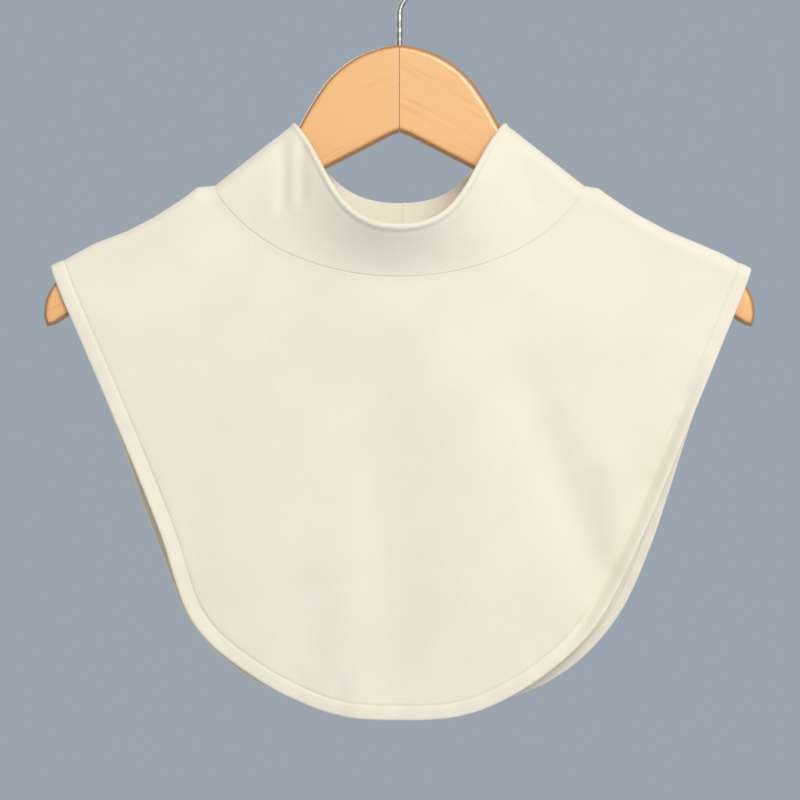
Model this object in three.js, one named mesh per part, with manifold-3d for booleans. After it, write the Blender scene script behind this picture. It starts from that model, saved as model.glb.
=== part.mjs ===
// Turtleneck dickey (a turtleneck collar with a front and a back bib) on a wooden clothes hanger.
// Millimetres. +Z is up, the garment's front faces -Y, and +X is at the wearer's left.
// The origin is the inside top of the hanger's hook, where a rail carries it.
import * as THREE from 'three';
import Module from 'manifold-3d';
import { mergeVertices } from 'three/addons/utils/BufferGeometryUtils.js';

// Walls and seams
const BIB_WALL = 1.6; // one layer of heavy double knit
const HEM_WALL = 2.6; // the same knit turned under
const COLLAR_WALL = 3.0; // the collar is folded double
const HEM_WIDTH = 9;
const HEM_RAMP = 1; // where the wall grows from one layer to two
const SEAM_GAP = 0.3;
const SEAM_REACH = 30; // along the outer edge, over which a bib settles from its shoulder seam

// Hanger
const BOARD_THICKNESS = 12;
const BOARD_ROUND = 4; // round on the board's long edges
const BOARD_TOP_Z = -75; // top of the board below the hook's inside top
const WIRE_RADIUS = 1.8;
const HOOK_INSIDE_RADIUS = 20.2;
const STEM_STRAIGHT = 19; // straight wire above the board
const STEM_DEPTH = 26; // wire inside the board
const BORE_CLEARANCE = 0.3;

// How the cloth lies over the board's top edge: the middle of the wall runs round this radius.
const WRAP_RADIUS = 8.2;

// The shoulder seam runs straight along the board's top edge, from the collar to the hem.
const NECK_POINT = { x: 116, z: -165.2 };
const SHOULDER_TIP = { x: 218, z: -216 };

// Half of the neck seam and of the collar's top edge, from the side to the centre, as the
// corners of a cubic curve. The centre is level.
const NECK_SEAM = {
  front: [NECK_POINT, { x: 92, z: -204.5 }, { x: 44, z: -220.5 }, { x: 0, z: -220.5 }],
  back: [NECK_POINT, { x: 94, z: -194 }, { x: 50, z: -206 }, { x: 0, z: -206 }],
};
const COLLAR_TIP = { x: 64.5, z: -124.6 };
const COLLAR_RIM = {
  front: [COLLAR_TIP, { x: 42, z: -151.5 }, { x: 41, z: -189.6 }, { x: 0, z: -189.6 }],
  back: [COLLAR_TIP, { x: 46, z: -158 }, { x: 32, z: -171.5 }, { x: 0, z: -171.5 }],
};

// The outer edge of each bib from the wearer's right shoulder tip round the bottom to the left one.
const OUTER_EDGE = {
  front: [
    { x: -218, z: -216 }, { x: -182, z: -298 }, { x: -150, z: -376 }, { x: -129, z: -434 },
    { x: -92, z: -468 }, { x: -46, z: -491 }, { x: 0, z: -496 }, { x: 46, z: -491 },
    { x: 90, z: -468 }, { x: 124, z: -434 }, { x: 152, z: -379 }, { x: 184, z: -302 },
    { x: 220, z: -217 },
  ],
  back: [
    { x: -218, z: -216 }, { x: -184, z: -300 }, { x: -154, z: -384 }, { x: -130, z: -439 },
    { x: -92, z: -474 }, { x: -46, z: -491 }, { x: 0, z: -495 }, { x: 46, z: -491 },
    { x: 95, z: -474 }, { x: 133, z: -440 }, { x: 158, z: -390 }, { x: 187, z: -302 },
    { x: 220, z: -217 },
  ],
};

// How far each part of the cloth stands off the board's plane beyond the wrap.
const HANG = {
  front: { slack: 3.5, chest: 7, chestWidth: 78, rim: 31 },
  back: { slack: 3.0, chest: 5, chestWidth: 90, rim: 24 },
};
const CHEST_HEIGHT = 95; // over which the stand-off below the neck fades
const CHEST_LEAST = 0.55; // the share of it that is left at the bottom
const RIM_LEAN = 1.5; // the collar leaves the seam upright and leans out towards its rim
const RIM_SPREAD = 1.2; // how far the lean at the centre spreads to the sides

// The largest soft folds, from a start to an end point. A positive depth is a trough.
const FOLDS = {
  front: [
    { x0: -14, z0: -255, x1: -6, z1: -500, width: 24, depth: 4.2 },
    { x0: -58, z0: -400, x1: -52, z1: -505, width: 17, depth: 3.2 },
    { x0: 47, z0: -245, x1: 52, z1: -430, width: 30, depth: -3.0 },
    { x0: -92, z0: -235, x1: -98, z1: -440, width: 30, depth: -2.2 },
    { x0: 72, z0: -268, x1: 126, z1: -410, width: 15, depth: 3.2 },
    { x0: 131, z0: -320, x1: 133, z1: -390, width: 10, depth: -1.8 },
    { x0: 180, z0: -295, x1: 108, z1: -446, width: 8, depth: 2.6 },
  ],
  back: [
    { x0: 20, z0: -250, x1: 10, z1: -500, width: 26, depth: 3.6 },
    { x0: -60, z0: -262, x1: -84, z1: -470, width: 20, depth: 3.4 },
    { x0: 84, z0: -270, x1: 96, z1: -455, width: 22, depth: 2.8 },
    { x0: -18, z0: -260, x1: -26, z1: -480, width: 22, depth: -2.4 },
    { x0: 54, z0: -270, x1: 50, z1: -470, width: 20, depth: -2.2 },
  ],
};

// Columns are placed by their distance from the shoulder seam along the outer edge: close
// together where the cloth turns over the board, then evenly.
const TURN_COLUMNS = [0, 1.2, 3, 5.4, 8.6, 13, 19, 28, 42];
const EVEN_COLUMNS = 17;
const NECK_CROWDING = 0.8; // how much closer the columns lie on the neck side near the shoulder
const BIB_ROWS = [0, 0.05, 0.16, 0.3, 0.45, 0.6, 0.74, 0.88, 1];
const COLLAR_ROWS = [0, 0.15, 0.36, 0.58, 0.8, 1];

const lerp = THREE.MathUtils.lerp;
const smooth = THREE.MathUtils.smoothstep;

const FACING = { front: -1, back: 1 };

function mirroredCubic(corners) {
  const right = corners.map(({ x, z }) => new THREE.Vector2(x, z));
  const left = corners.map(({ x, z }) => new THREE.Vector2(-x, z));
  const path = new THREE.CurvePath();
  path.add(new THREE.CubicBezierCurve(...left));
  path.add(new THREE.CubicBezierCurve(...right.reverse()));
  return path;
}

const asSpline = (rows) => new THREE.SplineCurve(rows.map(({ x, z }) => new THREE.Vector2(x, z)));

const curves = {};
for (const side of ['front', 'back']) {
  curves[side] = {
    seam: mirroredCubic(NECK_SEAM[side]),
    rim: mirroredCubic(COLLAR_RIM[side]),
    edge: asSpline(OUTER_EDGE[side]),
  };
}

// The part of the way round, 0 at the wearer's right shoulder and 1 at the left one, of each column.
function columnPlaces() {
  const half = curves.front.edge.getLength() / 2;
  const turn = TURN_COLUMNS.map((distance) => distance / half);
  const last = turn[turn.length - 1];
  const even = [];
  for (let i = 1; i <= EVEN_COLUMNS; i += 1) even.push(lerp(last, 1, i / EVEN_COLUMNS));
  const left = [...turn, ...even].map((share) => share / 2);
  const right = left.slice(0, -1).reverse().map((place) => 1 - place);
  return [...left, ...right];
}

// The matching place on the neck seam and the collar.
function neckPlace(place) {
  const share = 2 * Math.min(place, 1 - place);
  const moved = ((1 + NECK_CROWDING) * share) / (1 + NECK_CROWDING * share) / 2;
  return place <= 0.5 ? moved : 1 - moved;
}

const along = new THREE.Vector2(SHOULDER_TIP.x - NECK_POINT.x, SHOULDER_TIP.z - NECK_POINT.z).normalize();

function belowShoulder(x, z) {
  const dx = Math.abs(x) - NECK_POINT.x;
  const dz = z - NECK_POINT.z;
  return Math.max(0, along.y * dx - along.x * dz);
}

function turnOver(distance) {
  if (distance >= WRAP_RADIUS) return WRAP_RADIUS;
  return Math.sqrt(WRAP_RADIUS ** 2 - (WRAP_RADIUS - distance) ** 2);
}

function foldDepth(fold, x, z) {
  const length = Math.hypot(fold.x1 - fold.x0, fold.z1 - fold.z0);
  const ux = (fold.x1 - fold.x0) / length;
  const uz = (fold.z1 - fold.z0) / length;
  const run = (x - fold.x0) * ux + (z - fold.z0) * uz;
  const across = (x - fold.x0) * uz - (z - fold.z0) * ux;
  const fade = smooth(run, -0.1 * length, 0.35 * length) * (1 - smooth(run, 0.85 * length, 1.25 * length));
  return fold.depth * fade * Math.exp(-((across / fold.width) ** 2));
}

// How far the middle of a bib's wall lies from the board's middle plane. The shoulder seam of
// that row lies seamBelow under the straight shoulder line, and the depth starts from the seam.
function bibDepth(side, x, z, seamBelow) {
  const hang = HANG[side];
  const below = Math.max(0, belowShoulder(x, z) - seamBelow);
  const free = smooth(below, 10, 75);
  const height = CHEST_LEAST + (1 - CHEST_LEAST) * Math.exp(-(((z - NECK_SEAM[side][3].z) / CHEST_HEIGHT) ** 2));
  const chest = hang.chest * height * Math.exp(-((x / hang.chestWidth) ** 2));
  const folds = FOLDS[side].reduce((sum, fold) => sum + foldDepth(fold, x, z), 0);
  return Math.max(SEAM_GAP / 2, turnOver(below)) + free * (hang.slack + chest - folds);
}

function bibPoint(side, x, z, seamBelow) {
  return new THREE.Vector3(x, FACING[side] * bibDepth(side, x, z, seamBelow), z);
}

// The bib's own outward direction, from the slope of its depth.
function bibNormal(side, x, z, seamBelow) {
  const step = 0.2;
  const below = belowShoulder(x, z) - seamBelow;
  if (below < step) return new THREE.Vector3(-Math.sign(x) * along.y, 0, along.x);
  const slopeX = (bibDepth(side, x + step, z, seamBelow) - bibDepth(side, x - step, z, seamBelow)) / (2 * step);
  const slopeZ = (bibDepth(side, x, z + step, seamBelow) - bibDepth(side, x, z - step, seamBelow)) / (2 * step);
  return new THREE.Vector3(-slopeX, FACING[side], -slopeZ).normalize();
}

// A point of a curve, moved square to it in the garment's front view, upwards where it is level.
function movedPoint(pointAt, share, distance) {
  const step = 0.001;
  const tangent = pointAt(Math.min(1, share + step)).sub(pointAt(Math.max(0, share - step))).normalize();
  return pointAt(share).add(new THREE.Vector2(-tangent.y, tangent.x).multiplyScalar(distance));
}

const edgePoint = (side, place, inset) => (
  movedPoint((share) => curves[side].edge.getPointAt(share), place, inset));
const neckPoint = (side, place, lift) => (
  movedPoint((share) => curves[side].seam.getPoint(share), neckPlace(place), lift));

// How far under the straight shoulder line a row's seam lies, fading over SEAM_REACH from it.
function seamOffset(place, pointAt) {
  const seam = pointAt(place < 0.5 ? 0 : 1);
  const run = Math.min(place, 1 - place) * curves.front.edge.getLength();
  return belowShoulder(seam.x, seam.y) * (1 - smooth(run, 0, SEAM_REACH));
}

// A closed wall round a grid of middle points: cells[i][j] holds { point, normal, wall }.
function wallGeometry(cells, isRing) {
  const columns = cells.length;
  const rows = cells[0].length;
  const positions = [];
  for (const face of [0.5, -0.5]) {
    for (const column of cells) {
      for (const { point, normal, wall } of column) {
        positions.push(...point.clone().addScaledVector(normal, face * wall).toArray());
      }
    }
  }
  const outer = (i, j) => (i % columns) * rows + j;
  const inner = (i, j) => columns * rows + outer(i, j);
  const index = [];
  const quad = (a, b, c, d) => index.push(a, b, c, a, c, d);
  const spans = isRing ? columns : columns - 1;
  for (let i = 0; i < spans; i += 1) {
    for (let j = 0; j < rows - 1; j += 1) {
      quad(outer(i, j), outer(i, j + 1), outer(i + 1, j + 1), outer(i + 1, j));
      quad(inner(i, j), inner(i + 1, j), inner(i + 1, j + 1), inner(i, j + 1));
    }
    quad(outer(i, 0), outer(i + 1, 0), inner(i + 1, 0), inner(i, 0));
    quad(outer(i, rows - 1), inner(i, rows - 1), inner(i + 1, rows - 1), outer(i + 1, rows - 1));
  }
  if (!isRing) {
    const end = columns - 1;
    for (let j = 0; j < rows - 1; j += 1) {
      quad(outer(0, j), inner(0, j), inner(0, j + 1), outer(0, j + 1));
      quad(outer(end, j), outer(end, j + 1), inner(end, j + 1), inner(end, j));
    }
  }
  const geometry = new THREE.BufferGeometry();
  geometry.setAttribute('position', new THREE.Float32BufferAttribute(positions, 3));
  geometry.setIndex(index);
  return geometry;
}

// One bib: rows run from the neck seam to the outer edge, the last ones on the turned hem.
function bibGeometry(side) {
  const rowPoints = (place) => {
    const neck = neckPoint(side, place, -SEAM_GAP / 2);
    const hemStart = edgePoint(side, place, HEM_WIDTH + HEM_RAMP);
    const hem = [HEM_WIDTH, HEM_WIDTH / 2, 0].map((distance) => edgePoint(side, place, distance));
    return [...BIB_ROWS.map((share) => neck.clone().lerp(hemStart, share)), ...hem];
  };
  const cells = columnPlaces().map((place) => rowPoints(place).map((at, row) => {
    const offset = seamOffset(place, (end) => rowPoints(end)[row]);
    return {
      point: bibPoint(side, at.x, at.y, offset),
      normal: bibNormal(side, at.x, at.y, offset),
      wall: row < BIB_ROWS.length ? BIB_WALL : HEM_WALL,
    };
  }));
  if (side === 'back') cells.reverse();
  return wallGeometry(cells, false);
}

// A point of the collar's middle surface; height runs from 0 at the neck seam to 1 at the rim.
function collarPoint(side, place, height) {
  const share = neckPlace(place);
  const seam = neckPoint(side, place, SEAM_GAP / 2);
  const rim = curves[side].rim.getPoint(share);
  const fromFold = Math.min(share, 1 - share) * curves[side].rim.getLength();
  const rimDepth = turnOver(fromFold) + HANG[side].rim * Math.sin(Math.PI * share) ** RIM_SPREAD;
  const offset = seamOffset(place, (end) => neckPoint(side, end, SEAM_GAP / 2));
  const depth = lerp(bibDepth(side, seam.x, seam.y, offset), rimDepth, height ** RIM_LEAN);
  return new THREE.Vector3(lerp(seam.x, rim.x, height), FACING[side] * depth, lerp(seam.y, rim.y, height));
}

// The collar: a ring of columns, round the front and back again, leaning out at the centres.
function collarGeometry() {
  const places = columnPlaces();
  const ring = [
    ...places.slice(0, -1).map((place) => ({ side: 'front', place })),
    ...places.slice(1).reverse().map((place) => ({ side: 'back', place })),
  ];
  const points = ring.map(({ side, place }) => COLLAR_ROWS.map((height) => collarPoint(side, place, height)));
  const cells = points.map((column, i) => {
    const before = points[(i + points.length - 1) % points.length];
    const after = points[(i + 1) % points.length];
    return column.map((point, j) => {
      const { side, place } = ring[i];
      let normal;
      if (j === 0) {
        const at = neckPoint(side, place, 0);
        normal = bibNormal(side, at.x, at.y, seamOffset(place, (end) => neckPoint(side, end, 0)));
      } else {
        const across = after[j].clone().sub(before[j]);
        const up = column[Math.min(j + 1, column.length - 1)].clone().sub(column[j - 1]);
        normal = across.cross(up).normalize();
      }
      return { point, normal, wall: COLLAR_WALL };
    });
  });
  for (const column of cells) column.reverse();
  return wallGeometry(cells, true);
}

// Half of the board's outline, from the centre of its top to the notch under its centre.
const BOARD_TOP = [
  { x: 0, z: -75 }, { x: 16, z: -78.1 }, { x: 31, z: -85.2 }, { x: 45, z: -97.4 }, { x: 57, z: -115.4 },
  { x: 66, z: -131 }, { x: 80, z: -145 }, { x: 100, z: -159.6 }, { x: 122, z: -173.2 },
  { x: 160, z: -193.6 }, { x: 198, z: -211.2 }, { x: 213, z: -221 }, { x: 220.5, z: -232.6 },
  { x: 222.4, z: -244 },
];
const NOSE_END = { x: 220.4, z: -251 };
const BOARD_UNDER = [{ x: 215, z: -249.6 }, { x: 206, z: -243.6 }, { x: 44, z: -151.4 }];
const NOTCH_Z = -128.4;
const NOTCH_ROUND = 6;
const TOP_STEPS = 44;

function boardShape() {
  const top = asSpline([{ x: -BOARD_TOP[1].x, z: BOARD_TOP[1].z }, ...BOARD_TOP]).getPoints(TOP_STEPS);
  const rightTop = top.filter((point) => point.x > 0.5);
  const right = [
    ...rightTop,
    new THREE.Vector2(NOSE_END.x, NOSE_END.z),
    ...BOARD_UNDER.map(({ x, z }) => new THREE.Vector2(x, z)),
    new THREE.Vector2(NOTCH_ROUND, NOTCH_Z - NOTCH_ROUND * 0.55),
  ];
  const left = right.map((point) => new THREE.Vector2(-point.x, point.y)).reverse();
  return new THREE.Shape([
    new THREE.Vector2(0, BOARD_TOP_Z), ...right, new THREE.Vector2(0, NOTCH_Z - 1), ...left,
  ]);
}

// Turns a shape drawn in x and z, extruded along its own third axis, to stand upright.
function standUp(geometry) {
  return geometry.rotateX(Math.PI / 2);
}

function boardGeometry() {
  const geometry = new THREE.ExtrudeGeometry(boardShape(), {
    depth: BOARD_THICKNESS - 2 * BOARD_ROUND,
    bevelThickness: BOARD_ROUND,
    bevelSize: BOARD_ROUND,
    bevelOffset: -BOARD_ROUND,
    bevelSegments: 4,
  });
  geometry.translate(0, 0, -(BOARD_THICKNESS / 2 - BOARD_ROUND));
  return standUp(geometry);
}

const wasm = await Module();
wasm.setup();

function asSolid(geometry) {
  const bare = geometry.clone();
  bare.deleteAttribute('normal');
  bare.deleteAttribute('uv');
  const merged = mergeVertices(bare, 1e-4);
  return new wasm.Manifold(new wasm.Mesh({
    numProp: 3,
    vertProperties: new Float32Array(merged.attributes.position.array),
    triVerts: new Uint32Array(merged.index.array),
  }));
}

function asGeometry(solid) {
  const { vertProperties, triVerts } = solid.getMesh();
  const geometry = new THREE.BufferGeometry();
  geometry.setAttribute('position', new THREE.Float32BufferAttribute(vertProperties, 3));
  geometry.setIndex([...triVerts]);
  return geometry;
}

// One half of the board, with its half of the bore for the hook's stem.
function armGeometry(direction) {
  const reach = 300;
  const half = new THREE.BoxGeometry(reach, 40, 400);
  half.translate(direction * (reach / 2 + SEAM_GAP / 2), 0, BOARD_TOP_Z - 100);
  const bore = new THREE.CylinderGeometry(WIRE_RADIUS + BORE_CLEARANCE, WIRE_RADIUS + BORE_CLEARANCE, 60, 16);
  bore.rotateX(Math.PI / 2);
  bore.translate(0, 0, BOARD_TOP_Z - STEM_DEPTH - BORE_CLEARANCE + 30);
  return asGeometry(asSolid(boardGeometry()).intersect(asSolid(half)).subtract(asSolid(bore)));
}

// The wire: straight up out of the board, a bend to the right, then round over the rail.
const HOOK_RADIUS = HOOK_INSIDE_RADIUS + WIRE_RADIUS;
const HOOK_CENTRE_Z = -HOOK_INSIDE_RADIUS;
const HOOK_START = THREE.MathUtils.degToRad(-50);
const HOOK_END = THREE.MathUtils.degToRad(205);
const HOOK_STEPS = 56;

function hookPath() {
  const straightTop = BOARD_TOP_Z + STEM_STRAIGHT;
  const joinX = HOOK_RADIUS * Math.cos(HOOK_START);
  const joinZ = HOOK_CENTRE_Z + HOOK_RADIUS * Math.sin(HOOK_START);
  const ease = 9;
  const path = new THREE.Path();
  path.moveTo(0, BOARD_TOP_Z - STEM_DEPTH);
  path.lineTo(0, straightTop);
  path.bezierCurveTo(
    0, straightTop + ease,
    joinX + ease * Math.sin(HOOK_START), joinZ - ease * Math.cos(HOOK_START),
    joinX, joinZ,
  );
  path.absarc(0, HOOK_CENTRE_Z, HOOK_RADIUS, HOOK_START, HOOK_END, false);
  const points = path.getSpacedPoints(HOOK_STEPS).map(({ x, y }) => new THREE.Vector3(x, 0, y));
  return new THREE.CatmullRomCurve3(points);
}

function hookGeometry() {
  const section = new THREE.Shape().absarc(0, 0, WIRE_RADIUS, 0, 2 * Math.PI, false);
  return new THREE.ExtrudeGeometry(section, { extrudePath: hookPath(), steps: HOOK_STEPS, curveSegments: 5 });
}

const knit = new THREE.MeshStandardMaterial({ color: 0xeee8d7, roughness: 0.95, metalness: 0 });
const collarKnit = knit.clone();
const varnishedWood = new THREE.MeshStandardMaterial({ color: 0xf2be86, roughness: 0.35, metalness: 0 });
const platedWire = new THREE.MeshStandardMaterial({ color: 0xa9adb0, roughness: 0.35, metalness: 1 });

function part(name, geometry, material) {
  const mesh = new THREE.Mesh(geometry, material);
  mesh.name = name;
  return mesh;
}

const model = new THREE.Group();
model.add(
  part('front_bib', bibGeometry('front'), knit),
  part('back_bib', bibGeometry('back'), knit),
  part('collar_band', collarGeometry(), collarKnit),
  part('hanger_arm_left', armGeometry(1), varnishedWood),
  part('hanger_arm_right', armGeometry(-1), varnishedWood),
  part('hanger_hook', hookGeometry(), platedWire),
);

export default model;
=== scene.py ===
# A turtleneck dickey, cream double knit, hanging on a varnished wooden hanger.
# Sizes are in millimetres; MM turns them into metres when a mesh is made.
import math

import bmesh
import bpy
import numpy as np
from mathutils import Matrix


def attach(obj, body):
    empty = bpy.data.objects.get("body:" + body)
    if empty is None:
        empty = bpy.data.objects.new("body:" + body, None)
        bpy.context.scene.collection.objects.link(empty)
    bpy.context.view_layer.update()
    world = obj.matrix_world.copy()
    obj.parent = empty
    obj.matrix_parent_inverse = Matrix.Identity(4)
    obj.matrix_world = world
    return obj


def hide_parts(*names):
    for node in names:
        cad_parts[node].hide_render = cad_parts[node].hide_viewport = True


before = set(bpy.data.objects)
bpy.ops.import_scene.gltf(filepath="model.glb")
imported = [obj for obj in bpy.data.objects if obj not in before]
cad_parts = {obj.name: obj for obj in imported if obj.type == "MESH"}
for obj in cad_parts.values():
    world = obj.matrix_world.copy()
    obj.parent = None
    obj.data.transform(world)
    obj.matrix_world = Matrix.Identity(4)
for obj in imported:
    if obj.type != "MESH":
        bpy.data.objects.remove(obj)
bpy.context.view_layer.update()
MM = 0.001


# ---- Hanger board ----
# Two halves of a flat hardwood board, round on their long edges and butt-jointed at the
# centre, under clear varnish. Their round edges are painted darker, partly for varnish
# gathered there and partly as painted shade where the rounding turns from the lamp.
WOOD_FACE = (0.90, 0.500, 0.195, 1)
WOOD_DARK = (0.66, 0.315, 0.115, 1)
WOOD_EDGE_SHADE_AND_VARNISH = (0.40, 0.155, 0.045, 1)
BOARD_HALF_THICKNESS = 6.0
GRAIN_SLOPE = 0.50  # radians that the grain drops along each arm


def new_material(name, roughness):
    material = bpy.data.materials.new(name)
    material.use_nodes = True
    tree = material.node_tree
    shader = tree.nodes["Principled BSDF"]
    shader.inputs["Roughness"].default_value = roughness
    return material, tree, shader


def node(tree, kind, links=None, **settings):
    made = tree.nodes.new(kind)
    for key, value in settings.items():
        setattr(made, key, value)
    for socket, value in (links or {}).items():
        if isinstance(value, bpy.types.NodeSocket):
            tree.links.new(value, made.inputs[socket])
        else:
            made.inputs[socket].default_value = value
    return made


def math_node(tree, operation, first, second=0.0):
    return node(tree, "ShaderNodeMath", {0: first, 1: second}, operation=operation).outputs[0]


def remap(tree, value, low, high, to_low=0.0, to_high=1.0):
    links = {"Value": value, "From Min": low, "From Max": high, "To Min": to_low, "To Max": to_high}
    return node(tree, "ShaderNodeMapRange", links, interpolation_type="SMOOTHSTEP").outputs[0]


def mix_colour(tree, factor, first, second):
    mixer = node(tree, "ShaderNodeMix", {"Factor": factor}, data_type="RGBA")
    for socket, value in ((6, first), (7, second)):
        if isinstance(value, bpy.types.NodeSocket):
            tree.links.new(value, mixer.inputs[socket])
        else:
            mixer.inputs[socket].default_value = value
    return mixer.outputs[2]


def wood_material(name, turn):
    material, tree, shader = new_material(name, 0.32)
    place = node(tree, "ShaderNodeTexCoord").outputs["Object"]
    turned = node(tree, "ShaderNodeMapping", {"Vector": place, "Rotation": (0, turn, 0)}).outputs[0]
    streaks = node(tree, "ShaderNodeMapping", {"Vector": turned, "Scale": (9, 60, 170)}).outputs[0]
    fine = node(tree, "ShaderNodeTexNoise", {"Vector": streaks, "Scale": 3.0, "Detail": 5.0}).outputs[0]
    broad_place = node(tree, "ShaderNodeMapping", {"Vector": turned, "Scale": (4, 10, 45)}).outputs[0]
    broad = node(tree, "ShaderNodeTexNoise", {"Vector": broad_place, "Scale": 1.6, "Detail": 3.0}).outputs[0]
    grain = math_node(tree, "MULTIPLY", remap(tree, fine, 0.45, 0.75), remap(tree, broad, 0.3, 0.75))
    axes = node(tree, "ShaderNodeSeparateXYZ", {0: place})
    from_middle = math_node(tree, "ABSOLUTE", axes.outputs[1])
    # Round-edge mask: darkens the edges, partly varnish gathered there, partly painted shade.
    rounded = remap(tree, from_middle, (BOARD_HALF_THICKNESS - 0.08) * MM, 5.0 * MM)
    face = mix_colour(tree, math_node(tree, "MULTIPLY", grain, 0.55), WOOD_FACE, WOOD_DARK)
    colour = mix_colour(tree, math_node(tree, "MULTIPLY", rounded, 0.8), face, WOOD_EDGE_SHADE_AND_VARNISH)
    tree.links.new(colour, shader.inputs["Base Color"])
    bump = node(tree, "ShaderNodeBump", {"Height": fine, "Strength": 0.08, "Distance": 0.0003})
    tree.links.new(bump.outputs[0], shader.inputs["Normal"])
    shader.inputs["Coat Weight"].default_value = 0.5
    shader.inputs["Coat Roughness"].default_value = 0.16
    return material


def finish_piece(piece, material):
    piece.data.materials.clear()
    piece.data.materials.append(material)
    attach(piece, "root")


def mesh_piece(name, points, faces):
    mesh = bpy.data.meshes.new(name)
    mesh.from_pydata((np.asarray(points) * MM).tolist(), [], faces)
    mesh.polygons.foreach_set("use_smooth", [True] * len(mesh.polygons))
    mesh.update()
    piece = bpy.data.objects.new(name, mesh)
    bpy.context.scene.collection.objects.link(piece)
    return piece


def smooth_copy(node_name, sharp_degrees):
    """A copy of a CAD node with its loose triangles joined and its round edges shaded smooth."""
    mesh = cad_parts[node_name].data.copy()
    work = bmesh.new()
    work.from_mesh(mesh)
    bmesh.ops.remove_doubles(work, verts=work.verts, dist=1e-6)
    for face in work.faces:
        face.smooth = True
    for edge in work.edges:
        edge.smooth = edge.calc_face_angle(0) < math.radians(sharp_degrees)
    work.to_mesh(mesh)
    work.free()
    piece = bpy.data.objects.new(node_name + "_board", mesh)
    bpy.context.scene.collection.objects.link(piece)
    weights = piece.modifiers.new("face weights", "WEIGHTED_NORMAL")
    weights.keep_sharp = True
    return piece


for arm, turn in (("hanger_arm_left", -GRAIN_SLOPE), ("hanger_arm_right", GRAIN_SLOPE)):
    board = smooth_copy(arm, 45)
    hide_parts(arm)
    finish_piece(board, wood_material(arm + "_wood", turn))

# A dark block in the open lower part of the joint, from the wire's foot to the notch:
# painted shade standing for the shadow down in the narrow gap.
GAP_SHADE_HALF = (0.14, 5.2)
GAP_SHADE_TOP, GAP_SHADE_FOOT = -101.8, -127.0
# Near black: painted shade for the joint gap.
GAP_SHADE_COLOUR = (0.16, 0.07, 0.03, 1)
gap_shade_corners = [(x, y, z) for z in (GAP_SHADE_FOOT, GAP_SHADE_TOP) for y in (-GAP_SHADE_HALF[1], GAP_SHADE_HALF[1])
                for x in (-GAP_SHADE_HALF[0], GAP_SHADE_HALF[0])]
gap_shade_block = mesh_piece("joint_gap_shade", gap_shade_corners,
                  [(0, 2, 3, 1), (4, 5, 7, 6), (0, 1, 5, 4), (2, 6, 7, 3), (0, 4, 6, 2), (1, 3, 7, 5)])
# Material of the dark block: painted shade, not a coloured part of the board.
gap_shade_material, _, gap_shade_shader = new_material("joint_gap_shade", 0.7)
gap_shade_shader.inputs["Base Color"].default_value = GAP_SHADE_COLOUR
finish_piece(gap_shade_block, gap_shade_material)


# ---- Hanger hook ----
# Plated steel wire, set in the board's centre, bent to one side and round over the rail.
WIRE_RADIUS = 1.8
HOOK_RADIUS = 22.0
HOOK_CENTRE_Z = -20.2
STEM_FOOT_Z = -101.0
STEM_BEND_Z = -56.0
HOOK_FROM, HOOK_TO = math.radians(-50), math.radians(205)
WIRE_COLOUR = (0.64, 0.62, 0.54, 1)
WIRE_DULL = (0.40, 0.37, 0.31, 1)


def cubic(corners, shares):
    a, b, c, d = (np.array(corner, float) for corner in corners)
    t = np.asarray(shares)[:, None]
    return (1 - t) ** 3 * a + 3 * (1 - t) ** 2 * t * b + 3 * (1 - t) * t * t * c + t ** 3 * d


def hook_route():
    join = np.array((HOOK_RADIUS * math.cos(HOOK_FROM), HOOK_CENTRE_Z + HOOK_RADIUS * math.sin(HOOK_FROM)))
    ease = 9.0
    ahead = join + ease * np.array((math.sin(HOOK_FROM), -math.cos(HOOK_FROM)))
    stem = [(0, z) for z in np.linspace(STEM_FOOT_Z, STEM_BEND_Z, 8)[:-1]]
    bend = cubic([(0, STEM_BEND_Z), (0, STEM_BEND_Z + ease), ahead, join], np.linspace(0, 1, 24))
    turns = np.linspace(HOOK_FROM, HOOK_TO, 90)[1:]
    round_part = [(HOOK_RADIUS * math.cos(a), HOOK_CENTRE_Z + HOOK_RADIUS * math.sin(a)) for a in turns]
    return [*stem, *bend.tolist(), *round_part]


def hook_mesh(route, sides=20, tip_steps=5):
    centres = np.array([(x, 0, z) for x, z in route])
    along = np.gradient(centres, axis=0)
    along /= np.linalg.norm(along, axis=1)[:, None]
    across = np.cross(along, (0, 1, 0))
    radii = np.full(len(centres), WIRE_RADIUS)
    tip = np.linspace(0, math.pi / 2, tip_steps + 1)[1:]
    centres = np.vstack([centres, centres[-1] + WIRE_RADIUS * np.sin(tip)[:, None] * along[-1]])
    across = np.vstack([across, np.repeat(across[-1:], tip_steps, 0)])
    radii = np.append(radii, np.maximum(WIRE_RADIUS * np.cos(tip), 0.02))
    angles = np.linspace(0, 2 * math.pi, sides, endpoint=False)
    ring = np.cos(angles)[None, :, None] * across[:, None]
    ring = ring + np.sin(angles)[None, :, None] * np.array((0, 1, 0))
    points = centres[:, None] + ring * radii[:, None, None]
    count = len(centres)
    faces = []
    for i in range(count - 1):
        for k in range(sides):
            n = (k + 1) % sides
            faces.append((i * sides + k, i * sides + n, (i + 1) * sides + n, (i + 1) * sides + k))
    faces.append(tuple(range(sides - 1, -1, -1)))
    faces.append(tuple((count - 1) * sides + k for k in range(sides)))
    return points.reshape(-1, 3), faces


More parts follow.
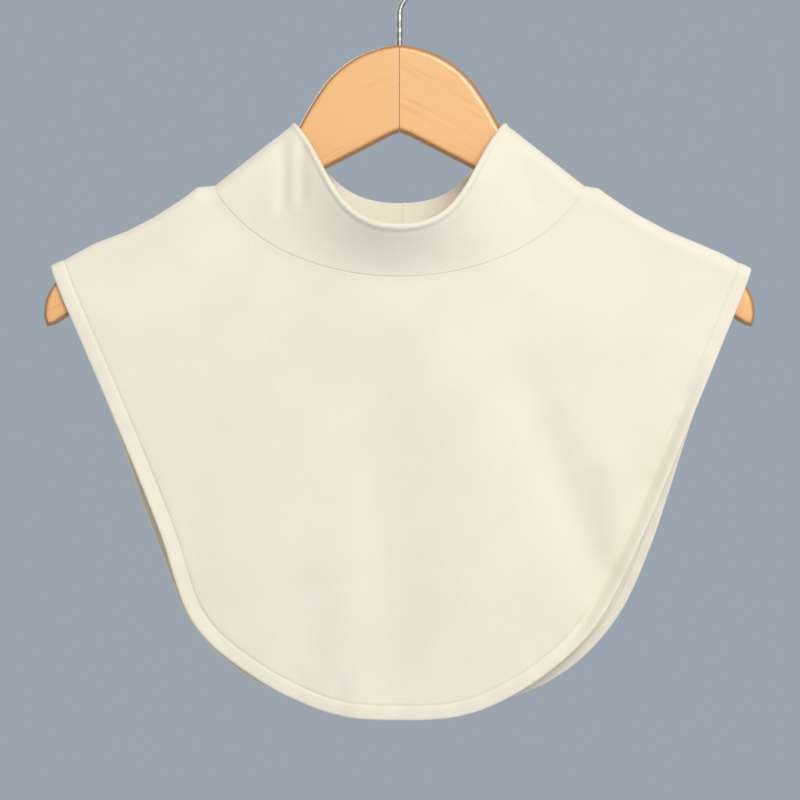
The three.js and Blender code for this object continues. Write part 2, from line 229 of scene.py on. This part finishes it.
def wire_material():
    material, tree, shader = new_material("plated_wire", 0.3)
    place = node(tree, "ShaderNodeTexCoord").outputs["Object"]
    mottle = node(tree, "ShaderNodeTexNoise", {"Vector": place, "Scale": 230.0, "Detail": 2.0}).outputs[0]
    worn = remap(tree, mottle, 0.42, 0.66)
    tree.links.new(mix_colour(tree, worn, WIRE_COLOUR, WIRE_DULL), shader.inputs["Base Color"])
    tree.links.new(remap(tree, mottle, 0.3, 0.7, 0.26, 0.38), shader.inputs["Roughness"])
    bump = node(tree, "ShaderNodeBump", {"Height": mottle, "Strength": 0.1, "Distance": 0.0001})
    tree.links.new(bump.outputs[0], shader.inputs["Normal"])
    shader.inputs["Metallic"].default_value = 1.0
    return material


hook = mesh_piece("hook_wire", *hook_mesh(hook_route()))
tidy = bmesh.new()
tidy.from_mesh(hook.data)
bmesh.ops.recalc_face_normals(tidy, faces=tidy.faces)
tidy.to_mesh(hook.data)
tidy.free()
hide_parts("hanger_hook")
finish_piece(hook, wire_material())


# ---- Bibs ----
# Front and back bib, one layer of heavy cream double knit each, joined along the shoulders
# over the board's top edge. The outer edge is turned under as a stitched hem.
BIB_HALF = 0.7
HEM_WIDTH = 9.0
HEM_OUT, HEM_IN = 0.35, 1.25
EDGE_ROUND = 1.35
NECK_ROUND = 0.9
WRAP_RADIUS = 8.2
NECK_POINT = (116.0, -165.2)
SHOULDER_TIP = (218.0, -216.0)
NECK_SEAM = {
    "front": [NECK_POINT, (92, -204.5), (44, -220.5), (0, -220.5)],
    "back": [NECK_POINT, (94, -194), (50, -206), (0, -206)],
}
OUTER_EDGE = {
    "front": [
        (-218, -216), (-182, -298), (-150, -376), (-129, -434), (-92, -468), (-46, -491), (0, -496),
        (46, -491), (90, -468), (124, -434), (152, -379), (184, -302), (220, -217),
    ],
    "back": [
        (-218, -216), (-184, -300), (-154, -384), (-130, -439), (-92, -474), (-46, -491), (0, -495),
        (46, -491), (95, -474), (133, -440), (158, -390), (187, -302), (220, -217),
    ],
}
HANG = {
    "front": {"slack": 3.5, "chest": 7, "width": 78, "rim": 31},
    "back": {"slack": 3.0, "chest": 5, "width": 90, "rim": 24},
}
CHEST_HEIGHT, CHEST_LEAST = 95, 0.55
FACING = {"front": -1, "back": 1}
# Soft folds: start x and z, end x and z, half width, depth (a trough is positive).
FOLDS = {
    "front": [
        (-14, -255, -6, -500, 24, 4.2), (-58, -400, -52, -505, 17, 3.2), (47, -245, 52, -430, 30, -3.0),
        (-92, -235, -98, -440, 30, -2.2), (72, -268, 126, -410, 15, 3.2), (131, -320, 133, -390, 10, -1.8),
        (180, -295, 108, -446, 8, 2.6),
    ],
    "back": [
        (20, -250, 10, -500, 26, 3.6), (-60, -262, -84, -470, 20, 3.4), (84, -270, 96, -455, 22, 2.8),
        (-18, -260, -26, -480, 22, -2.4), (54, -270, 50, -470, 20, -2.2),
    ],
}
# Small puckers low on the front hem, at the wearer's right, too small for the CAD.
PUCKERS = {"front": [(-62, -462, -66, -492, 5, 1.4), (-36, -470, -38, -494, 6, 1.2)], "back": []}


def smoothstep(value, low, high):
    t = np.clip((value - low) / (high - low), 0, 1)
    return t * t * (3 - 2 * t)


class Route:
    """A curve in the garment's front view, read by the share of its length."""

    def __init__(self, points):
        self.points = np.asarray(points)
        steps = np.hypot(*np.diff(self.points, axis=0).T)
        self.run = np.append(0, np.cumsum(steps))
        self.length = self.run[-1]

    def at(self, share, lift=0.0):
        def read(s):
            where = np.clip(s, 0, 1) * self.length
            return np.stack([np.interp(where, self.run, self.points[:, k]) for k in (0, 1)], -1)
        step = 0.002
        tangent = read(share + step) - read(share - step)
        tangent /= np.linalg.norm(tangent, axis=-1, keepdims=True)
        return read(share) + np.stack([-tangent[..., 1], tangent[..., 0]], -1) * np.asarray(lift)[..., None]


def mirrored(corners):
    half = cubic(corners, np.linspace(0, 1, 300))
    return Route(np.vstack([half * (-1, 1), half[::-1][1:]]))


def through(rows, steps=40):
    rows = np.array(rows)
    padded = np.vstack([rows[:1], rows, rows[-1:]])
    t = np.linspace(0, 1, steps, endpoint=False)[:, None]
    pieces = []
    for a, b, c, d in zip(padded, padded[1:], padded[2:], padded[3:]):
        v0, v1 = (c - a) / 2, (d - b) / 2
        cube, square = 2 * b - 2 * c + v0 + v1, -3 * b + 3 * c - 2 * v0 - v1
        pieces.append(cube * t ** 3 + square * t ** 2 + v0 * t + b)
    return Route(np.vstack([*pieces, rows[-1:]]))


seams = {side: mirrored(NECK_SEAM[side]) for side in FACING}
edges = {side: through(OUTER_EDGE[side]) for side in FACING}
shoulder = np.subtract(SHOULDER_TIP, NECK_POINT) / np.linalg.norm(np.subtract(SHOULDER_TIP, NECK_POINT))


def neck_share(place):
    share = 2 * np.minimum(place, 1 - place)
    moved = 1.8 * share / (1 + 0.8 * share) / 2
    return np.where(place <= 0.5, moved, 1 - moved)


def below_shoulder(x, z):
    return np.maximum(0, shoulder[1] * (np.abs(x) - NECK_POINT[0]) - shoulder[0] * (z - NECK_POINT[1]))


def turn_over(distance):
    inside = np.clip(WRAP_RADIUS - distance, 0, WRAP_RADIUS)
    return np.sqrt(WRAP_RADIUS ** 2 - inside ** 2)


def fold_depth(folds, x, z):
    total = 0
    for x0, z0, x1, z1, width, depth in folds:
        length = math.hypot(x1 - x0, z1 - z0)
        ux, uz = (x1 - x0) / length, (z1 - z0) / length
        run = ((x - x0) * ux + (z - z0) * uz) / length
        across = (x - x0) * uz - (z - z0) * ux
        fade = smoothstep(run, -0.1, 0.35) * (1 - smoothstep(run, 0.85, 1.25))
        total = total + depth * fade * np.exp(-((across / width) ** 2))
    return total


def bib_depth(side, x, z, below):
    hang = HANG[side]
    height = CHEST_LEAST + (1 - CHEST_LEAST) * np.exp(-(((z - NECK_SEAM[side][3][1]) / CHEST_HEIGHT) ** 2))
    chest = hang["chest"] * height * np.exp(-((x / hang["width"]) ** 2))
    loose = hang["slack"] + chest - fold_depth(FOLDS[side] + PUCKERS[side], x, z)
    return turn_over(below) + smoothstep(below, 10, 75) * loose


# The shoulder above its straight line, as distance out from the collar and height: a lump of
# seam ends beside the collar, then a soft wave out to the tip. -1 is the wearer's right.
SHOULDER_LIFT = {
    -1: [(-4, 0), (10, 6), (20, 3.5), (38, 1), (55, 1), (74, 3.5), (102, 2.5)],
    1: [(-4, 0), (8, 4.5), (18, 2.5), (32, 0.5), (52, 0), (68, 1.5), (86, 3), (103, 2)],
}


def shoulder_lift(x):
    out = np.abs(x) - NECK_POINT[0]
    left, right = (np.interp(out, *zip(*SHOULDER_LIFT[way])) for way in (-1, 1))
    return np.where(x < 0, left, right)


def seam_closed(below):
    """Distances below the shoulder, measured from the shoulder seam itself, so both bibs meet there."""
    run = (np.minimum(places, 1 - places) * edges["front"].length)[:, None]
    ends = np.where((places < 0.5)[:, None], below[:1], below[-1:])
    return np.maximum(0, below - ends * (1 - smoothstep(run, 0, 30)))


def grid_normals(points, ring=False):
    if ring:
        padded = np.concatenate([points[-1:], points, points[:1]])
        across = (padded[2:] - padded[:-2])
    else:
        across = np.gradient(points, axis=0)
    along = np.gradient(points, axis=1)
    normal = np.cross(along, across)
    return normal / np.maximum(np.linalg.norm(normal, axis=-1, keepdims=True), 1e-9)


def wall_mesh(outer, inner, ring):
    """Faces of a closed wall between two grids of points, with shared rounded ends."""
    columns, rows = outer.shape[:2]
    points = np.concatenate([outer.reshape(-1, 3), inner.reshape(-1, 3)])
    ids = np.arange(columns * rows).reshape(columns, rows)
    if ring:
        ids = np.vstack([ids, ids[:1]])
    low = ids + columns * rows

    def quads(a, b, c, d):
        return np.stack([a, b, c, d], -1).reshape(-1, 4)
    faces = [
        quads(ids[:-1, :-1], ids[:-1, 1:], ids[1:, 1:], ids[1:, :-1]),
        quads(low[:-1, :-1], low[1:, :-1], low[1:, 1:], low[:-1, 1:]),
        quads(ids[:-1, 0], ids[1:, 0], low[1:, 0], low[:-1, 0]),
        quads(ids[:-1, -1], low[:-1, -1], low[1:, -1], ids[1:, -1]),
    ]
    if not ring:
        faces.append(quads(ids[0, :-1], low[0, :-1], low[0, 1:], ids[0, 1:]))
        faces.append(quads(ids[-1, :-1], ids[-1, 1:], low[-1, 1:], low[-1, :-1]))
    return points, np.concatenate(faces).tolist()


def cloth_piece(name, outer, inner, ring, flat):
    """The closed wall as an object, with a map in metres of cloth and its doubled ends joined."""
    points, faces = wall_mesh(outer, inner, ring)
    piece = mesh_piece(name, points, faces)
    layer = piece.data.uv_layers.new(name="cloth")
    corners = np.empty(len(piece.data.loops), int)
    piece.data.loops.foreach_get("vertex_index", corners)
    both = np.concatenate([flat.reshape(-1, 2), flat.reshape(-1, 2)]) * MM
    layer.data.foreach_set("uv", both[corners].ravel())
    work = bmesh.new()
    work.from_mesh(piece.data)
    bmesh.ops.remove_doubles(work, verts=work.verts, dist=1e-6)
    bmesh.ops.dissolve_degenerate(work, edges=work.edges, dist=1e-7)
    work.to_mesh(piece.data)
    work.free()
    return piece


def round_end(distance, radius, least=0.0):
    t = np.clip(distance / radius, 0, 1)
    return least + (1 - least) * np.sqrt(np.maximum(0, 1 - (1 - t) ** 2))


COLUMNS = 342
half_places = np.linspace(0, 1, COLUMNS // 2) ** 1.35 / 2
places = np.append(half_places, 1 - half_places[-2::-1])
NECK_ROWS = np.array([0, 0.12, 0.35, 0.7, 1.1, 1.7, 2.6, 3.8])
HEM_ROWS = np.array([11.2, 10.5, 10, 9.6, 9.3, 9, 8.7, 8.4, 8, 7.2,
                     6, 4.8, 3.6, 2.6, 1.8, 1.2, 0.7, 0.3, 0.08, 0])
FIELD_ROWS = 66
SEAM_OVERLAP = 0.3


def hem_ripple(place, side):
    """Fine uneven puckers along the stitched hem."""
    run = place * edges[side].length
    shift = 0.0 if side == "front" else 2.1
    return (0.16 * np.sin(run / 3.1 + shift) + 0.13 * np.sin(run / 5.3 + 1.3 + shift)
            + 0.22 * np.sin(run / 13.7 + 0.4) + 0.3 * np.sin(run / 37.0 + 2.2 + shift))


def bib_grids(side):
    neck = seams[side].at(neck_share(places), SEAM_OVERLAP)
    start = edges[side].at(places, HEM_ROWS[0])
    length = np.linalg.norm(start - neck, axis=1)
    shares = [row / length for row in NECK_ROWS]
    last = shares[-1]
    shares += [last + (1 - last) * k / FIELD_ROWS for k in range(1, FIELD_ROWS + 1)]
    flat = [neck + (start - neck) * share[:, None] for share in shares]
    flat += [edges[side].at(places, row) for row in HEM_ROWS[1:]]
    flat = np.stack(flat, 1)
    from_neck = np.stack([share * length for share in shares] + [length + 10] * (len(HEM_ROWS) - 1), 1)
    from_edge = np.stack([(1 - share) * length + HEM_ROWS[0] for share in shares]
                         + [np.full(len(places), row) for row in HEM_ROWS[1:]], 1)
    x, z = flat[..., 0], flat[..., 1]
    below = seam_closed(below_shoulder(x, z))
    lift = shoulder_lift(x) * np.exp(-((below / 11) ** 2))
    ripple = hem_ripple(places, side)[:, None] * np.exp(-((np.maximum(from_edge - 6, 0) / 9) ** 2))
    free = smoothstep(below, 8, 40)
    depth = bib_depth(side, x, z, below) + free * ripple
    if side == "front":
        # The lower right hem rolls forward, so a trough runs between its stitching and its edge.
        roll = smoothstep(places, 0.62, 0.70) * (1 - smoothstep(places, 0.86, 0.95))
        small_roll = 0.35 * smoothstep(places, 0.1, 0.2) * (1 - smoothstep(places, 0.3, 0.4))
        strength = (roll + small_roll)[:, None] * free
        depth = depth + strength * (3.4 * np.exp(-((from_edge / 3.4) ** 2))
                                    - 1.9 * np.exp(-(((from_edge - 7.4) / 3.0) ** 2)))
    middle = np.stack([x, FACING[side] * depth, z + lift], -1)
    normal = grid_normals(middle) * (1 if side == "front" else -1)
    within = 1 - smoothstep(from_edge, 8.6, 9.4)
    outer = BIB_HALF + within * HEM_OUT * np.sin(math.pi * np.clip(from_edge / 8.8, 0, 1)) ** 0.6
    outer = outer - 0.5 * np.exp(-(((from_edge - HEM_WIDTH) / 0.75) ** 2))
    outer = outer + 0.35 * np.exp(-((from_neck / 3.0) ** 2))
    inner = BIB_HALF + within * HEM_IN
    edge_end = round_end(from_edge, EDGE_ROUND)
    neck_end = round_end(from_neck, NECK_ROUND, 0.0)
    side_end = round_end(np.minimum(places, 1 - places) * edges[side].length, 1.2, 0.15)[:, None]
    ends = edge_end * neck_end * side_end
    return middle, normal, outer * ends, inner * ends, flat


def knit_group():
    """Double knit: fine wales and courses with soft fuzz, as a height and a shade."""
    group = bpy.data.node_groups.new("double_knit", "ShaderNodeTree")
    for name, kind in (("Map", "NodeSocketVector"), ("Wale", "NodeSocketFloat"), ("Fuzz", "NodeSocketFloat")):
        group.interface.new_socket(name, in_out="INPUT", socket_type=kind)
    for name in ("Height", "Shade"):
        group.interface.new_socket(name, in_out="OUTPUT", socket_type="NodeSocketFloat")
    given = group.nodes.new("NodeGroupInput")
    result = group.nodes.new("NodeGroupOutput")
    axes = node(group, "ShaderNodeSeparateXYZ", {0: given.outputs["Map"]})
    turns = math_node(group, "DIVIDE", 2 * math.pi, given.outputs["Wale"])
    wobble = node(group, "ShaderNodeTexNoise", {"Vector": given.outputs["Map"], "Scale": 260.0}).outputs[0]
    across = math_node(group, "ADD", math_node(group, "MULTIPLY", axes.outputs[0], turns),
                       math_node(group, "MULTIPLY", wobble, 3.0))
    up = math_node(group, "MULTIPLY", math_node(group, "MULTIPLY", axes.outputs[1], turns), 1.35)
    wales = math_node(group, "SINE", across)
    courses = math_node(group, "SINE", math_node(group, "ADD", up, math_node(group, "MULTIPLY", wales, 0.9)))
    loops = math_node(group, "ADD", math_node(group, "MULTIPLY", wales, 0.5),
                      math_node(group, "MULTIPLY", courses, 0.35))
    fuzz = node(group, "ShaderNodeTexNoise", {"Vector": given.outputs["Map"], "Scale": 1500.0, "Detail": 3.0})
    hair = math_node(group, "MULTIPLY", fuzz.outputs[0], given.outputs["Fuzz"])
    group.links.new(math_node(group, "ADD", loops, hair), result.inputs["Height"])
    cloud = node(group, "ShaderNodeTexNoise", {"Vector": given.outputs["Map"], "Scale": 28.0, "Detail": 4.0})
    shade = math_node(group, "ADD", math_node(group, "MULTIPLY", cloud.outputs[0], 0.75),
                      math_node(group, "MULTIPLY", fuzz.outputs[0], 0.25))
    group.links.new(shade, result.inputs["Shade"])
    return group


KNIT_LIGHT = (0.872, 0.820, 0.684, 1)
KNIT_DEEP = (0.850, 0.795, 0.652, 1)
knit_nodes = knit_group()


def knit_material(name, wale):
    material, tree, shader = new_material(name, 0.92)
    place = node(tree, "ShaderNodeUVMap", uv_map="cloth").outputs[0]
    knit = node(tree, "ShaderNodeGroup", node_tree=knit_nodes)
    tree.links.new(place, knit.inputs["Map"])
    knit.inputs["Wale"].default_value = wale
    knit.inputs["Fuzz"].default_value = 1.6
    shade = remap(tree, knit.outputs["Shade"], 0.38, 0.62)
    tree.links.new(mix_colour(tree, shade, KNIT_DEEP, KNIT_LIGHT), shader.inputs["Base Color"])
    relief = {"Height": knit.outputs["Height"], "Strength": 0.35, "Distance": 0.00012}
    bump = node(tree, "ShaderNodeBump", relief)
    tree.links.new(bump.outputs[0], shader.inputs["Normal"])
    shader.inputs["Sheen Weight"].default_value = 0.25
    shader.inputs["Sheen Roughness"].default_value = 0.5
    shader.inputs["Specular IOR Level"].default_value = 0.2
    return material


body_knit = knit_material("bib_knit", 0.0011)
bib_surface = {}
for side in FACING:
    middle, normal, outer, inner, flat = bib_grids(side)
    bib_surface[side] = (middle, normal, outer, inner)
    sheets = [middle + normal * outer[..., None], middle - normal * inner[..., None]]
    turned = [sheet if side == "front" else sheet[::-1] for sheet in sheets]
    piece = cloth_piece(side + "_bib_cloth", *turned, False, flat if side == "front" else flat[::-1])
    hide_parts(side + "_bib")
    finish_piece(piece, body_knit)


# ---- Collar ----
# A funnel band of the same knit folded double, its fold rolled softly at the top, closed by
# a seam at the centre back and sewn to both bibs round the neck.
COLLAR_HALF = 1.5
COLLAR_TIP = (64.5, -124.6)
COLLAR_RIM = {
    "front": [COLLAR_TIP, (42, -151.5), (41, -189.6), (0, -189.6)],
    "back": [COLLAR_TIP, (46, -158), (32, -171.5), (0, -171.5)],
}
RIM_LEAN, RIM_SPREAD = 1.5, 1.2
BACK_SEAM_X = 3.0
RIM_ROWS = np.array([0, 0.08, 0.3, 0.7, 1.2, 1.8, 2.5, 3.3, 4.2, 5.2])
SEAM_ROWS = np.array([3.6, 2.4, 1.5, 0.8, 0.35, 0.1, 0])
BELLY_ROWS = 24
# Soft dents in the front of the band: x, lowest and highest z, half width, depth.
DENTS = [(-72, -180, -135, 4.5, 1.5), (-60, -176, -135, 4.0, 1.1), (80, -178, -150, 5.0, 0.8)]

rims = {side: mirrored(COLLAR_RIM[side]) for side in FACING}


def collar_side(side):
    share = neck_share(places)
    seam = seams[side].at(share, -SEAM_OVERLAP)
    rim = rims[side].at(share)
    from_fold = np.minimum(share, 1 - share) * rims[side].length
    rim_depth = turn_over(from_fold) + HANG[side]["rim"] * np.sin(math.pi * share).clip(0) ** RIM_SPREAD
    below = seam_closed(below_shoulder(seam[:, :1], seam[:, 1:]))[:, 0]
    seam_depth = bib_depth(side, seam[:, 0], seam[:, 1], below)
    length = np.sqrt(((rim - seam) ** 2).sum(1) + (rim_depth - seam_depth) ** 2)[:, None]
    top = 1 - RIM_ROWS[None] / length
    foot = SEAM_ROWS[None] / length
    steps = np.linspace(0, 1, BELLY_ROWS + 2)[None, 1:-1]
    height = np.hstack([top, top[:, -1:] + (foot[:, :1] - top[:, -1:]) * steps, foot])
    flat = seam[:, None] + (rim - seam)[:, None] * height[..., None]
    depth = seam_depth[:, None] + (rim_depth - seam_depth)[:, None] * height.clip(0) ** RIM_LEAN
    x, z = flat[..., 0], flat[..., 1]
    dent = np.zeros_like(x)
    if side == "front":
        for at, low, high, width, amount in DENTS:
            dent += amount * np.exp(-(((x - at) / width) ** 2)) * smoothstep(z, low - 8, low + 8) * (
                1 - smoothstep(z, high - 8, high + 8))
    else:
        dent += 0.5 * np.exp(-(((x - BACK_SEAM_X) / 0.9) ** 2))
    middle = np.stack([x, FACING[side] * depth, z], -1)
    return middle, dent, (1 - height) * length, height * length


def collar_ring():
    front, back = collar_side("front"), collar_side("back")
    return [np.concatenate([a[:-1], b[:0:-1]]) for a, b in zip(front, back)]


middle, dent, from_rim, from_seam = collar_ring()
normal = grid_normals(middle, ring=True)
rolled = 0.45 * np.exp(-(((from_rim - 1.8) / 1.5) ** 2)) - 0.3 * np.exp(-(((from_rim - 4.8) / 1.3) ** 2))
ends = round_end(from_rim, 1.7) * round_end(from_seam, 1.3)
outer = middle + normal * ((COLLAR_HALF + rolled) * ends - dent)[..., None]
inner = middle - normal * (COLLAR_HALF * ends + dent)[..., None]
round_way = np.append(0, np.cumsum(np.linalg.norm(np.diff(middle[:, 14], axis=0), axis=1)))
band_map = np.stack([np.repeat(round_way[:, None], middle.shape[1], 1), from_seam], -1)
collar = cloth_piece("collar_cloth", outer, inner, True, band_map)
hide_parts("collar_band")
finish_piece(collar, knit_material("collar_knit", 0.0010))


# ---- Stitching ----
# One row of cream thread round each bib holds the turned hem down, and an overlock
# covers the raw edge of the hem inside the back bib.
THREAD_COLOUR = (0.82, 0.75, 0.60, 1)


def stitch_group():
    group = bpy.data.node_groups.new("stitch_row", "GeometryNodeTree")
    socket = group.interface.new_socket
    socket("Geometry", in_out="INPUT", socket_type="NodeSocketGeometry")
    for name in ("Pitch", "Length", "Thickness", "Slant"):
        socket(name, in_out="INPUT", socket_type="NodeSocketFloat")
    socket("Seed", in_out="INPUT", socket_type="NodeSocketInt")
    socket("Material", in_out="INPUT", socket_type="NodeSocketMaterial")
    socket("Geometry", in_out="OUTPUT", socket_type="NodeSocketGeometry")
    given, result = group.nodes.new("NodeGroupInput"), group.nodes.new("NodeGroupOutput")
    want = given.outputs
    line = node(group, "GeometryNodeMeshToCurve", {"Mesh": want["Geometry"]})
    line = node(group, "GeometryNodeResampleCurve", {"Curve": line.outputs[0], "Length": want["Pitch"]},
                mode="LENGTH")
    bead = node(group, "GeometryNodeMeshUVSphere", {"Segments": 8, "Rings": 5, "Radius": 0.5})
    tangent = group.nodes.new("GeometryNodeInputTangent").outputs[0]
    turn = node(group, "FunctionNodeAlignRotationToVector", {"Vector": tangent}, axis="Z").outputs[0]
    index = group.nodes.new("GeometryNodeInputIndex").outputs[0]
    parity = math_node(group, "MODULO", index, 2.0)
    side_to_side = math_node(group, "SUBTRACT", math_node(group, "MULTIPLY", parity, 2.0), 1.0)
    swing = math_node(group, "MULTIPLY", side_to_side, want["Slant"])
    lean = node(group, "ShaderNodeCombineXYZ", {1: swing}).outputs[0]
    lean = node(group, "FunctionNodeEulerToRotation", {0: lean}).outputs[0]
    turn = node(group, "FunctionNodeRotateRotation", {"Rotation": turn, "Rotate By": lean},
                rotation_space="GLOBAL").outputs[0]
    vary = node(group, "FunctionNodeRandomValue", {"Seed": want["Seed"]}, data_type="FLOAT")
    vary.inputs[2].default_value, vary.inputs[3].default_value = 0.85, 1.1
    length = math_node(group, "MULTIPLY", want["Length"], vary.outputs[1])
    size = node(group, "ShaderNodeCombineXYZ", {0: want["Thickness"], 1: want["Thickness"], 2: length})
    row = node(group, "GeometryNodeInstanceOnPoints", {"Points": line.outputs[0], "Instance": bead.outputs[0],
                                                       "Rotation": turn, "Scale": size.outputs[0]})
    row = node(group, "GeometryNodeRealizeInstances", {0: row.outputs[0]})
    row = node(group, "GeometryNodeSetMaterial", {"Geometry": row.outputs[0], "Material": want["Material"]})
    group.links.new(row.outputs[0], result.inputs[0])
    return group


stitch_nodes = stitch_group()
thread_material, thread_tree, thread_shader = new_material("sewing_thread", 0.8)
thread_place = node(thread_tree, "ShaderNodeTexCoord").outputs["Object"]
thread_noise = node(thread_tree, "ShaderNodeTexNoise", {"Vector": thread_place, "Scale": 900.0}).outputs[0]
thread_tree.links.new(mix_colour(thread_tree, thread_noise, THREAD_COLOUR, KNIT_LIGHT),
                      thread_shader.inputs["Base Color"])


def stitch_row(name, points, **inputs):
    mesh = bpy.data.meshes.new(name + "_line")
    mesh.from_pydata((points * MM).tolist(), [(i, i + 1) for i in range(len(points) - 1)], [])
    line = bpy.data.objects.new(name + "_line", mesh)
    bpy.context.scene.collection.objects.link(line)
    live = line.modifiers.new("stitches", "NODES")
    live.node_group = stitch_nodes
    sockets = {item.name: item.identifier for item in stitch_nodes.interface.items_tree
               if item.in_out == "INPUT"}
    for key, value in {**inputs, "Material": thread_material}.items():
        live[sockets[key]] = value
    depsgraph = bpy.context.evaluated_depsgraph_get()
    made = bpy.data.meshes.new_from_object(line.evaluated_get(depsgraph))
    bpy.data.objects.remove(line)
    row = bpy.data.objects.new(name, made)
    bpy.context.scene.collection.objects.link(row)
    made.polygons.foreach_set("use_smooth", [True] * len(made.polygons))
    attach(row, "root")
    return row


HEM_STITCH = {"Pitch": 2.3 * MM, "Length": 1.8 * MM, "Thickness": 0.5 * MM, "Slant": 0.0}
OVERLOCK = {"Pitch": 1.0 * MM, "Length": 3.0 * MM, "Thickness": 0.4 * MM, "Slant": 0.55}
first_hem_row = len(NECK_ROWS) + FIELD_ROWS - 1
stitch_line, overlock_line = (first_hem_row + list(HEM_ROWS).index(row) for row in (9, 6))
sewn = (places > 0.012) & (places < 0.988)
stitches = {}
for seed, side in enumerate(FACING, 1):
    middle, normal, outer, inner = (grid[sewn, stitch_line] for grid in bib_surface[side])
    stitches[side] = [stitch_row(side + "_hem_stitches", middle + normal * (outer + 0.02)[:, None],
                                 Seed=seed, **HEM_STITCH)]
    if side == "back":
        middle, normal, outer, inner = (grid[sewn, overlock_line] for grid in bib_surface[side])
        stitches[side].append(stitch_row("back_overlock", middle - normal * (inner + 0.02)[:, None],
                                         Seed=7, **OVERLOCK))


# ---- Studio ----
# A plain pale room: one broad soft lamp in front, slightly to the right and above, an even
# sky for fill, and a floor far below the hanging object.
BACKDROP = (0.325, 0.375, 0.430, 1)
FILL_COLOUR = (1.0, 0.985, 0.96, 1)
FILL_LEVEL = 0.56
LAMP_WATTS = 54
BACK_LAMP_WATTS = 18
FLOOR_RADIUS, FLOOR_Z, FLOOR_SIDES = 4.0, -1.2, 96  # metres

scene = bpy.context.scene
world = bpy.data.worlds.new("pale_room")
scene.world = world
world.use_nodes = True
sky = world.node_tree
sky.nodes.clear()
rays = sky.nodes.new("ShaderNodeLightPath").outputs
seen = math_node(sky, "MAXIMUM", rays["Is Camera Ray"], rays["Is Glossy Ray"])
room = node(sky, "ShaderNodeBackground", {"Color": BACKDROP, "Strength": 1.0}).outputs[0]
fill = node(sky, "ShaderNodeBackground", {"Color": FILL_COLOUR, "Strength": FILL_LEVEL}).outputs[0]
both = node(sky, "ShaderNodeMixShader", {0: seen, 1: fill, 2: room}).outputs[0]
node(sky, "ShaderNodeOutputWorld", {"Surface": both})


def soft_lamp(name, watts, place, tilt, turn):
    data = bpy.data.lights.new(name, "AREA")
    data.shape, data.size, data.energy = "DISK", 1.6, watts
    lamp = bpy.data.objects.new(name, data)
    lamp.location = place
    lamp.rotation_euler = (math.radians(tilt), 0, math.radians(turn))
    lamp.visible_camera = False
    scene.collection.objects.link(lamp)


soft_lamp("broad_lamp", LAMP_WATTS, (0.9, -2.6, 1.0), 64, 19)
soft_lamp("back_lamp", BACK_LAMP_WATTS, (-0.9, 2.8, 1.0), 64, 198)

floor_mesh = bpy.data.meshes.new("floor")
turns = np.linspace(0, 2 * math.pi, FLOOR_SIDES, endpoint=False)
rim_points = [(FLOOR_RADIUS * math.cos(a), FLOOR_RADIUS * math.sin(a), FLOOR_Z) for a in turns]
floor_mesh.from_pydata(rim_points, [], [tuple(range(FLOOR_SIDES))])
floor = bpy.data.objects.new("floor", floor_mesh)
scene.collection.objects.link(floor)
floor_material, _, floor_shader = new_material("pale_floor", 0.9)
floor_shader.inputs["Base Color"].default_value = (0.50, 0.54, 0.58, 1)
floor_mesh.materials.append(floor_material)

camera_data = bpy.data.cameras.new("camera")
camera_data.lens = 115
camera = bpy.data.objects.new("camera", camera_data)
camera.location = (0.0003, -1.6, -0.297)
camera.rotation_euler = (math.pi / 2, 0, 0)
scene.collection.objects.link(camera)
scene.camera = camera
scene.view_settings.view_transform = "Standard"
